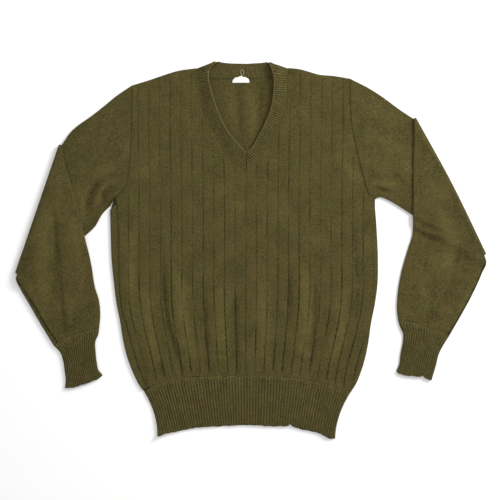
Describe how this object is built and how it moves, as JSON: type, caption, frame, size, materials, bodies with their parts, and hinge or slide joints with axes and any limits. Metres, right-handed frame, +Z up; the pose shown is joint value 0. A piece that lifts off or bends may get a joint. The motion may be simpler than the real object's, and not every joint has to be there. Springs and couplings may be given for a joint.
{
  "type": "army sweater",
  "caption": "Olive V-neck knit sweater laid flat, with fine vertical grooves on its front, ribbed neck, hem and cuffs, and sleeves folded over at the elbow.",
  "frame": {"origin": "on the table, below the middle of the sweater's outline", "axes": "+X is the viewer's right (the wearer's left sleeve), +Y runs from hem to neck, +Z is up, away from the table"},
  "size_m": [0.8687, 0.6947, 0.0118],
  "materials": {
    "olive_knit": "soft, matt wool-blend knit in olive drab, lightly mottled",
    "olive_rib": "matt ribbed knit of the same yarn",
    "label_white": "plain woven white label, blank"
  },
  "bodies": {
    "root": {"front_panel": "olive_knit", "back_panel": "olive_knit", "right_sleeve": "olive_knit", "left_sleeve": "olive_knit", "right_cuff": "olive_rib", "left_cuff": "olive_rib", "hem_rib_front": "olive_rib", "hem_rib_back": "olive_rib", "neckband": "olive_rib", "label": "label_white"}
  },
  "joints": []
}
